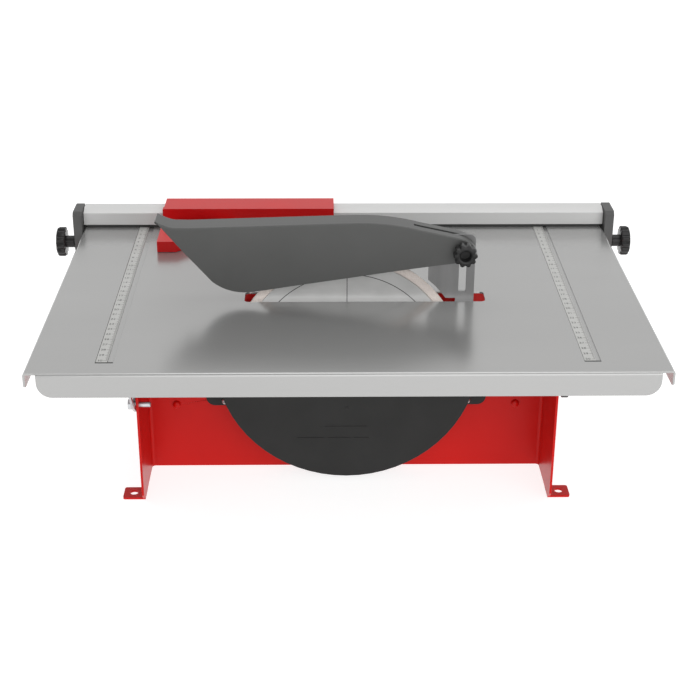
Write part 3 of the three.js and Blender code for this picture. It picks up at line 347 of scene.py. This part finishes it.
BLADE_Y, AXIS_Z = -24, 115
CORE_R, RIM_IN, RIM_OUT, RIM_CHAMFER, RIM_EDGE = 92.2, 92.4, 100, 1.2, 0.5
CORE_HALF, RIM_ROOT, RIM_HALF, BORE = 0.9, 0.95, 1.1, 6.3
INNER_CIRCLE, OUTER_CIRCLE, SPOKES, LINE = 40, 81, 6, 0.32

blade_steel = surface("blade_steel", (0.47, 0.47, 0.465), (0.41, 0.41, 0.405), 20, (0.34, 0.46), metal=0.35,
                      grain=0.006, grain_size=0.5)


def add_print(material, circles, spokes, spoke_from, spoke_to, line):
    """Black printed rings and spokes about the blade's axis, sizes in mm."""
    tree = material.node_tree
    shader = tree.nodes["Principled BSDF"]
    under = shader.inputs["Base Color"].links[0].from_socket

    def calc(kind, a, b=None):
        step = tree.nodes.new("ShaderNodeMath")
        step.operation = kind
        for socket, value in zip(step.inputs, (a, b)):
            if isinstance(value, bpy.types.NodeSocket):
                tree.links.new(value, socket)
            elif value is not None:
                socket.default_value = value
        return step.outputs["Value"]

    place = tree.nodes.new("ShaderNodeTexCoord")
    split = tree.nodes.new("ShaderNodeSeparateXYZ")
    tree.links.new(place.outputs["Object"], split.inputs["Vector"])
    x = split.outputs["X"]
    z = calc("SUBTRACT", split.outputs["Z"], AXIS_Z * MM)
    radius = calc("SQRT", calc("ADD", calc("MULTIPLY", x, x), calc("MULTIPLY", z, z)))
    marks = None
    for circle in circles:
        hit = calc("LESS_THAN", calc("ABSOLUTE", calc("SUBTRACT", radius, circle * MM)), line * MM)
        marks = hit if marks is None else calc("MAXIMUM", marks, hit)
    turn = calc("MULTIPLY", calc("ARCTAN2", z, x), spokes / (2 * math.pi))
    away = calc("ABSOLUTE", calc("SUBTRACT", calc("FRACT", turn), 0.5))
    arc = calc("MULTIPLY", calc("MULTIPLY", away, radius), 2 * math.pi / spokes)
    spoke = calc("LESS_THAN", arc, line * MM)
    spoke = calc("MULTIPLY", spoke, calc("GREATER_THAN", radius, spoke_from * MM))
    spoke = calc("MULTIPLY", spoke, calc("LESS_THAN", radius, spoke_to * MM))
    marks = calc("MAXIMUM", marks, spoke)
    ink = tree.nodes.new("ShaderNodeMix")
    ink.data_type = "RGBA"
    ink.inputs["B"].default_value = (0.012, 0.012, 0.012, 1)
    tree.links.new(marks, ink.inputs["Factor"])
    tree.links.new(under, ink.inputs["A"])
    tree.links.new(ink.outputs["Result"], shader.inputs["Base Color"])


def blade_ring(name, profile):
    """A turned ring on the blade's axis, its section joined end to end."""
    ring = turned(name, profile, (0, BLADE_Y, AXIS_Z), steps=180)
    weld = ring.modifiers.new("weld", "WELD")
    weld.merge_threshold = 0.002 * MM
    even_shading(ring)
    return ring


add_print(blade_steel, (OUTER_CIRCLE, INNER_CIRCLE), SPOKES, INNER_CIRCLE, OUTER_CIRCLE, LINE)
core = blade_ring("blade_disc", [(BORE, -CORE_HALF), (CORE_R, -CORE_HALF), (CORE_R, CORE_HALF),
                                 (BORE, CORE_HALF), (BORE, -CORE_HALF)])
settle(core, "rotor", blade_steel, "blade_steel", "blade_core")

diamond = surface("diamond_rim", (0.70, 0.64, 0.60), (0.58, 0.52, 0.48), 1.4, (0.75, 0.95), metal=0.05,
                  grain=0.12, grain_size=0.35, specular=0.25)
flat_in, flat_out, shoulder = RIM_IN + RIM_CHAMFER, RIM_OUT - RIM_EDGE, RIM_HALF - RIM_EDGE
rim = blade_ring("blade_rim_ring", [(RIM_IN, -RIM_ROOT), (flat_in, -RIM_HALF), (flat_out, -RIM_HALF),
                                    (RIM_OUT, -shoulder), (RIM_OUT, shoulder), (flat_out, RIM_HALF),
                                    (flat_in, RIM_HALF), (RIM_IN, RIM_ROOT), (RIM_IN, -RIM_ROOT)])
settle(rim, "rotor", diamond, "diamond", "blade_rim")


# ---- Switch box ----
# Black moulded box on the back of the wall with a green and a red push button and the cable gland.
# The buttons are glossy and slightly crowned.

softened("switch_box", "switch_housing", "stand", 1.2, black_plastic, "black_plastic", steps=3)
softened("cable_gland", "lead_gland", "stand", 0.4, black_plastic, "black_plastic")
green_plastic = surface("green_button", (0.02, 0.34, 0.08), (0.015, 0.27, 0.06), 10, (0.18, 0.30), coat=0.3)
red_plastic = surface("red_button", (0.62, 0.02, 0.02), (0.52, 0.014, 0.014), 10, (0.18, 0.30), coat=0.3)
softened("on_button", "on_button_cap", "on_button", 0.5, green_plastic, "green_plastic", steps=3)
softened("off_button", "off_button_cap", "off_button", 0.5, red_plastic, "red_plastic", steps=3)


# ---- Table ----
# One sheet of satin steel, punched for the blade and folded down on four sides, with open corners.
# Rolled finish: it mirrors softly, with very fine lines along its length and faint wiped patches.

table_steel = surface("table_steel", (0.43, 0.43, 0.425), (0.40, 0.40, 0.395), 120, (0.20, 0.26), metal=0.65,
                      grain=0.0035, grain_size=1.4, stretch=(0.25, 1, 1))
softened("table", "table_sheet", "table", 0.3, table_steel, "satin_steel")


# ---- Tilt brackets and clamps ----
# Zinc-plated brackets welded under the table hang outside the stand. A bolt on the left and a wing knob
# on the right pass through their curved slots and lock the tilt.

for side in ("left", "right"):
    softened(f"tilt_bracket_{side}", f"bracket_{side}", "table", 0.3, zinc, "zinc")
softened("tilt_bolt_left", "clamp_bolt", "tilt_bolt_left", 0.35, zinc, "zinc")
softened("tilt_knob_right", "clamp_knob", "tilt_knob_right", 0.8, black_plastic, "black_plastic", steps=3)


# ---- Scales ----
# Printed strips let into grooves in the table, one on each side, counting centimetres from the fence.
# Pale lacquered faces with thin black marks and figures.

TABLE_TOP = 175
SCALE_TOP = TABLE_TOP - 0.15
scale_face = surface("scale_lacquer", (0.50, 0.50, 0.485), (0.45, 0.45, 0.435), 18, (0.30, 0.42), metal=0.2,
                     grain=0.004, grain_size=0.6)
scale_ink = surface("scale_ink", (0.02, 0.02, 0.02), (0.012, 0.012, 0.012), 4, (0.45, 0.6))
ZERO_Y, SCALE_CM, MM_IN_CM = 150, 30, 10
CM_MARK, HALF_MARK, MM_MARK, MARK_END = 3.4, 2.4, 1.5, 0.3
BOLD_HALF, THIN_HALF = 0.16, 0.1
INK_UNDER, INK_OVER = 0.05, 0.03
FIGURE_SIZE, FIGURE_IN = 4.2, 2.9
END_LINE = {"left": -0.2, "right": 13.6, "near": -0.3, "far": 1.6, "under": 0.4, "over": 0.1}


def scale_print(edge, other, end):
    """Marks and figures between two edges of a scale, and the black line across its near end, in mm."""
    marks = bmesh.new()
    bar(marks, edge + END_LINE["left"], edge + END_LINE["right"], end + END_LINE["near"], end + END_LINE["far"],
        SCALE_TOP - END_LINE["under"], SCALE_TOP + END_LINE["over"])
    for step in range(SCALE_CM * MM_IN_CM + 1):
        whole = step % MM_IN_CM == 0
        half = step % (MM_IN_CM // 2) == 0
        reach = CM_MARK if whole else HALF_MARK if half else MM_MARK
        wide = BOLD_HALF if whole else THIN_HALF
        y = ZERO_Y - step
        bar(marks, other - reach, other - MARK_END, y - wide, y + wide,
            SCALE_TOP - INK_UNDER, SCALE_TOP + INK_OVER)
    figures = bpy.data.curves.new("figure", "FONT")
    figures.size = FIGURE_SIZE * MM
    figures.align_x = figures.align_y = "CENTER"
    figures.extrude = INK_OVER * MM
    writer = new_piece("figure", figures)
    for count in range(1, SCALE_CM + 1):
        figures.body = str(count)
        bpy.context.view_layer.update()
        shape = writer.evaluated_get(bpy.context.evaluated_depsgraph_get()).to_mesh()
        place = (edge + FIGURE_IN, ZERO_Y - MM_IN_CM * count, SCALE_TOP)
        shape.transform(Matrix.Translation([MM * c for c in place]))
        marks.from_mesh(shape)
    bpy.data.objects.remove(writer)
    return marks


for side in ("left", "right"):
    softened(f"scale_{side}", f"scale_strip_{side}", "table", 0.1, scale_face, "scale_face")
    low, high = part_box(f"scale_{side}")
    marks = scale_print(low.x / MM, high.x / MM, low.y / MM)
    settle(finished(f"scale_print_{side}", marks), "table", scale_ink, "scale_face")


# ---- Fence ----
# Satin aluminium extrusion with a chamfered front edge and a groove along its back, cut square. It stands a
# little above the table, where a black strip fills the gap as painted shade, and is held at each end by a
# moulded clamp that reaches down beside the table.

aluminium = surface("satin_aluminium", (0.64, 0.64, 0.635), (0.60, 0.60, 0.595), 40, (0.46, 0.54), metal=0.2,
                    grain=0.006, grain_size=1.2, stretch=(0.04, 1, 1))
softened("fence_bar", "fence_rail", "fence", 0.35, aluminium, "aluminium")
# Painted shade: a black strip fills the gap between the rail and the table, standing for the shadow in that
# gap.
GAP_SHADE_X, GAP_SHADE_NEAR, GAP_SHADE_BACK, GAP_SHADE_LOW, GAP_SHADE_HIGH = 249, 149.6, 166.5, 175.25, 177.65
gap_shade = bmesh.new()
bar(gap_shade, -GAP_SHADE_X, GAP_SHADE_X, GAP_SHADE_NEAR, GAP_SHADE_BACK, GAP_SHADE_LOW, GAP_SHADE_HIGH)
settle(finished("fence_gap_shade", gap_shade, 0.2), "fence", black_plastic, "black_plastic")
clamp_plastic = surface("clamp_plastic", (0.092, 0.092, 0.091), (0.072, 0.072, 0.071), 20, (0.44, 0.56),
                        grain=0.03, grain_size=0.5, specular=0.35)
for side in ("left", "right"):
    softened(f"fence_clamp_{side}", f"end_clamp_{side}", "fence", 0.8, clamp_plastic, "charcoal_plastic",
             steps=3)


# ---- Fence knobs ----
# Fluted hand knobs moulded in black over a steel screw. Turning one presses its screw against the
# table's edge. The flutes run over a chamfer onto a dished face.

KNOB_Y, KNOB_Z = 145.5, 162
KNOB_R, NECK_R, SCREW_R = 14.3, 5.8, 2.4
FLUTES, FLUTE_DEPTH, FLUTE_STEPS = 12, 1.8, 8
LARGEST_SCALE = 1.2


def outline(radius, lobes, depth, steps):
    """Points round a grip with rounded lobes, in mm."""
    points = []
    for i in range(lobes * steps):
        a = 2 * math.pi * i / (lobes * steps)
        r = radius - depth * (0.5 - 0.5 * math.cos(lobes * a)) ** 1.6
        points.append((r * math.cos(a), r * math.sin(a)))
    return points


def skin(name, base, layers, place):
    """Closed skin over (height, size) layers; a small size scales the lobed base, a large one is a radius."""
    sheet = bmesh.new()
    rings = []
    for height, size in layers:
        ring = []
        for i, (u, v) in enumerate(base):
            if size > LARGEST_SCALE:
                a = 2 * math.pi * i / len(base)
                u, v = size * math.cos(a), size * math.sin(a)
            else:
                u, v = size * u, size * v
            ring.append(sheet.verts.new([MM * c for c in place(u, v, height)]))
        rings.append(ring)
    for low, high in zip(rings, rings[1:]):
        for i in range(len(low)):
            j = (i + 1) % len(low)
            sheet.faces.new((low[i], low[j], high[j], high[i]))
    sheet.faces.new(rings[0])
    sheet.faces.new(rings[-1])
    return finished(name, sheet)


knob_plastic = surface("knob_plastic", (0.020, 0.020, 0.020), (0.014, 0.014, 0.014), 12, (0.17, 0.25),
                       grain=0.02, grain_size=0.45, specular=0.28)
KNOB_LAYERS = [(252.1, SCREW_R), (261.3, SCREW_R), (261.3, NECK_R - 0.3), (261.6, NECK_R), (268.8, NECK_R),
               (268.9, 10.5), (269.3, 0.94), (270.4, 1.0), (275.6, 1.0), (277.0, 0.94), (277.6, 11.8),
               (277.8, 10.8), (277.5, 9.8), (276.5, 8.4), (276.3, 3.0), (276.8, SCREW_R)]
for side, way in (("left", -1), ("right", 1)):
    knob = skin(f"hand_knob_{side}", outline(KNOB_R, FLUTES, FLUTE_DEPTH, FLUTE_STEPS), KNOB_LAYERS,
                lambda u, v, w: (way * w, KNOB_Y + u, KNOB_Z + v))
    settle(knob, f"fence_knob_{side}", knob_plastic, "charcoal_plastic", f"fence_knob_{side}")


# ---- Mitre guide ----
# Pressed steel guide in the same gloss red, a little cooler in tone. Its plate hooks over the rail, its
# triangular foot slides on the table and a small thumb screw at the back locks it.

guide_powder = surface("guide_powder", (0.56, 0.004, 0.005), (0.52, 0.003, 0.004), 50, (0.26, 0.36),
                       grain=0.015, grain_size=1.8, specular=0.25)
guide_plate = softened("mitre_guide", "guide_plate", "guide", 0.5, guide_powder, "guide_paint", steps=3)

# The lip along the plate's front edge is folded a little further down over the rail.
LIP_BACK, LIP_LOW, LIP_HIGH, LIP_DEEPER = 143.5, 190.9, 192.2, 4
for corner in guide_plate.data.vertices:
    if corner.co.y < MM * LIP_BACK and MM * LIP_LOW < corner.co.z < MM * LIP_HIGH:
        corner.co.z -= MM * LIP_DEEPER
softened("guide_screw", "thumb_screw", "guide_screw", 0.3, black_plastic, "black_plastic")


# ---- Blade guard ----
# A channel moulded in dark grey plastic that hangs over the blade from one bolt. Its walls are 2.1 mm
# thick with a rounded spine; the spine is slit at the rear to pass over the riving knife.

GUARD_NEAR, GUARD_FAR, GUARD_WALL = -35, -13, 2.1
SLIT_NEAR, SLIT_FAR, SLIT_X = -26, -22, 60
BACK_FLOOR = 198


def curve(start, middle, end, steps):
    """Points along a bend from start to end that leans towards middle."""
    points = []
    for i in range(1, steps + 1):
        t = i / steps
        weights = ((1 - t) ** 2, 2 * t * (1 - t), t * t)
        points.append(tuple(sum(w * c for w, c in zip(weights, trio)) for trio in zip(start, middle, end)))
    return points


spine = [(-160.4, 248.0)]
spine += curve((-160.4, 248.0), (-152.5, 243.0), (-146.0, 242.1), 4)
spine += [(-133.0, 241.9), (-90.0, 243.2), (-45.0, 244.6), (2.0, 246.0)]
spine += curve((2.0, 246.0), (34.0, 247.2), (62.0, 239.5), 10)
spine += [(76.0, 236.4), (93.0, 232.6)]
spine += curve((93.0, 232.6), (107.0, 229.6), (109.4, 220.5), 7)
belly = curve((109.4, 220.5), (110.0, 210.6), (98.0, 210.8), 5)
belly += [(72.0, 207.4), (45.0, 203.6), (2.4, 197.0), (-38.0, 190.9), (-75.8, 184.9)]
belly += curve((-75.8, 184.9), (-99.0, 180.6), (-114.6, 193.6), 10)
belly += [(-138.2, 220.8), (-158.9, 246.0)]

shell = bmesh.new()
columns = []
depths = (GUARD_NEAR, SLIT_NEAR, SLIT_FAR, GUARD_FAR)
for x, z in spine:
    columns.append([shell.verts.new((MM * x, MM * y, MM * z)) for y in depths])
for (x, z), a, b in zip(spine[1:], columns, columns[1:]):
    for k in (0, 1, 2):
        if k == 1 and x > SLIT_X:
            continue
        shell.faces.new((a[k], b[k], b[k + 1], a[k + 1]))
near_belly = [shell.verts.new((MM * x, MM * GUARD_NEAR, MM * z)) for x, z in belly]
shell.faces.new([c[0] for c in columns] + near_belly)
far_belly = [shell.verts.new((MM * x, MM * GUARD_FAR, MM * max(z, BACK_FLOOR))) for x, z in belly
             if z > BACK_FLOOR - 3]
shell.faces.new([c[3] for c in columns] + far_belly)
bmesh.ops.recalc_face_normals(shell, faces=shell.faces)
middle = sum((f.normal * f.calc_area() for f in shell.faces if abs(f.normal.y) < 0.1), Vector())
if middle.z < 0:
    bmesh.ops.reverse_faces(shell, faces=shell.faces)
mesh = bpy.data.meshes.new("guard_shell")
shell.to_mesh(mesh)
shell.free()
guard = new_piece("guard_shell", mesh)
round_edges(guard, 1.3, steps=4, angle=50)
thick = guard.modifiers.new("wall", "SOLIDIFY")
thick.thickness = GUARD_WALL * MM
thick.offset = -1
thick.use_even_offset = True
baked(guard)
even_shading(guard, 38)
guard_plastic = surface("guard_plastic", (0.068, 0.069, 0.067), (0.058, 0.059, 0.057), 45, (0.38, 0.48),
                        grain=0.02, grain_size=0.55, specular=0.65)
settle(guard, "guard", guard_plastic, "guard_plastic", "guard")


# ---- Guard bolt and star knob ----
# A cup-head bolt passes through guard, spacers and knife, and a ten-lobed star knob clamps them. The
# knob is black with a deep round well where the bolt's end shows.

BOLT_X, BOLT_Z = 99, 220.2
CUP_BOLT = [(0, -38.8), (2.3, -38.8), (2.8, -38.3), (2.9, -12.7), (6, -12.7), (5.9, -12.0), (5.0, -10.6),
            (3.0, -9.8), (0, -9.6)]
bolt = turned("guard_cup_bolt", CUP_BOLT, (BOLT_X, 0, BOLT_Z), steps=32)
even_shading(bolt)
settle(bolt, "guard_bolt", zinc, "zinc", "guard_bolt")
for end in ("front", "back"):
    softened(f"guard_spacer_{end}", f"spacer_{end}", "guard_bolt", 0.3, black_plastic, "black_plastic")

STAR_R, LOBES, LOBE_DEPTH, LOBE_STEPS = 10.2, 10, 1.7, 10
STAR_LAYERS = [(-39.0, 3.0), (-35.3, 3.3), (-35.3, 5.4), (-35.6, 5.6), (-37.4, 5.6), (-37.6, 0.9),
               (-38.4, 1.0), (-45.2, 1.0), (-46.3, 0.94), (-46.8, 6.9), (-46.7, 5.6), (-46.1, 4.8),
               (-45.2, 4.3), (-39.6, 4.1), (-39.4, 3.0)]
knob = skin("star_knob", outline(STAR_R, LOBES, LOBE_DEPTH, LOBE_STEPS), STAR_LAYERS,
            lambda u, v, w: (BOLT_X + u, w, BOLT_Z + v))
settle(knob, "guard_knob", knob_plastic, "charcoal_plastic", "guard_knob")


# ---- Studio ----
# A white sweep under broad soft light, and a camera a metre in front of the table looking down on it.

bpy.ops.mesh.primitive_plane_add(size=12, location=(0, 2, 0))
floor = bpy.context.object
floor.name = "studio_floor"
paper = bpy.data.materials.new("studio_paper")
paper.use_nodes = True
paper_face = paper.node_tree.nodes["Principled BSDF"]
paper_face.inputs["Base Color"].default_value = (0.42, 0.42, 0.42, 1)
paper_face.inputs["Roughness"].default_value = 0.9
paper_face.inputs["Emission Color"].default_value = (1, 1, 1, 1)
paper_face.inputs["Emission Strength"].default_value = 0.82
floor.data.materials.append(paper)

world = bpy.data.worlds.new("studio_sky")
bpy.context.scene.world = world
world.use_nodes = True
sky = world.node_tree
white = sky.nodes["Background"]
white.inputs["Color"].default_value = (1, 1, 1, 1)
facing = sky.nodes.new("ShaderNodeTexCoord")
parts = sky.nodes.new("ShaderNodeSeparateXYZ")
sky.links.new(facing.outputs["Generated"], parts.inputs["Vector"])
fade = sky.nodes.new("ShaderNodeMapRange")
fade.inputs["From Min"].default_value, fade.inputs["From Max"].default_value = -0.6, 0.5
fade.inputs["To Min"].default_value, fade.inputs["To Max"].default_value = 0.50, 0.88
sky.links.new(parts.outputs["Y"], fade.inputs["Value"])
seen = sky.nodes.new("ShaderNodeLightPath")
pick = sky.nodes.new("ShaderNodeMix")
pick.inputs["B"].default_value = 1.0
sky.links.new(seen.outputs["Is Camera Ray"], pick.inputs["Factor"])
sky.links.new(fade.outputs["Result"], pick.inputs["A"])
sky.links.new(pick.outputs["Result"], white.inputs["Strength"])
MIDDLE = Vector((0, 0, 0.1))


def soft_light(name, place, size, power):
    """A rectangular softbox that faces the middle of the machine, in metres and watts."""
    lamp = bpy.data.lights.new(name, "AREA")
    lamp.shape = "RECTANGLE"
    lamp.size, lamp.size_y = size
    lamp.energy = power
    holder = bpy.data.objects.new(name, lamp)
    bpy.context.scene.collection.objects.link(holder)
    holder.location = place
    holder.rotation_euler = (MIDDLE - Vector(place)).to_track_quat("-Z", "Y").to_euler()


soft_light("top_softbox", (0.2, 0.3, 2.0), (1.8, 1.4), 10)
soft_light("front_softbox", (0.7, -2.0, 0.9), (3.0, 1.8), 25)

CAMERA_AT = (-0.0209, -1.1594, 0.6575)
PITCH, YAW, ROLL = (math.radians(a) for a in (25.078, 1.110, 0.279))
ahead = Vector((math.sin(YAW) * math.cos(PITCH), math.cos(YAW) * math.cos(PITCH), -math.sin(PITCH)))
across = Vector((math.cos(YAW), -math.sin(YAW), 0))
up = across.cross(ahead)
right = math.cos(ROLL) * across + math.sin(ROLL) * up
top = -math.sin(ROLL) * across + math.cos(ROLL) * up
FOCAL, SENSOR = 73.9, 36
lens = bpy.data.cameras.new("front_camera")
lens.lens, lens.sensor_width = FOCAL, SENSOR
camera = bpy.data.objects.new("front_camera", lens)
bpy.context.scene.collection.objects.link(camera)
camera.matrix_world = Matrix.Translation(CAMERA_AT) @ Matrix((right, top, -ahead)).transposed().to_4x4()
bpy.context.scene.camera = camera
bpy.context.scene.view_settings.view_transform = "Standard"
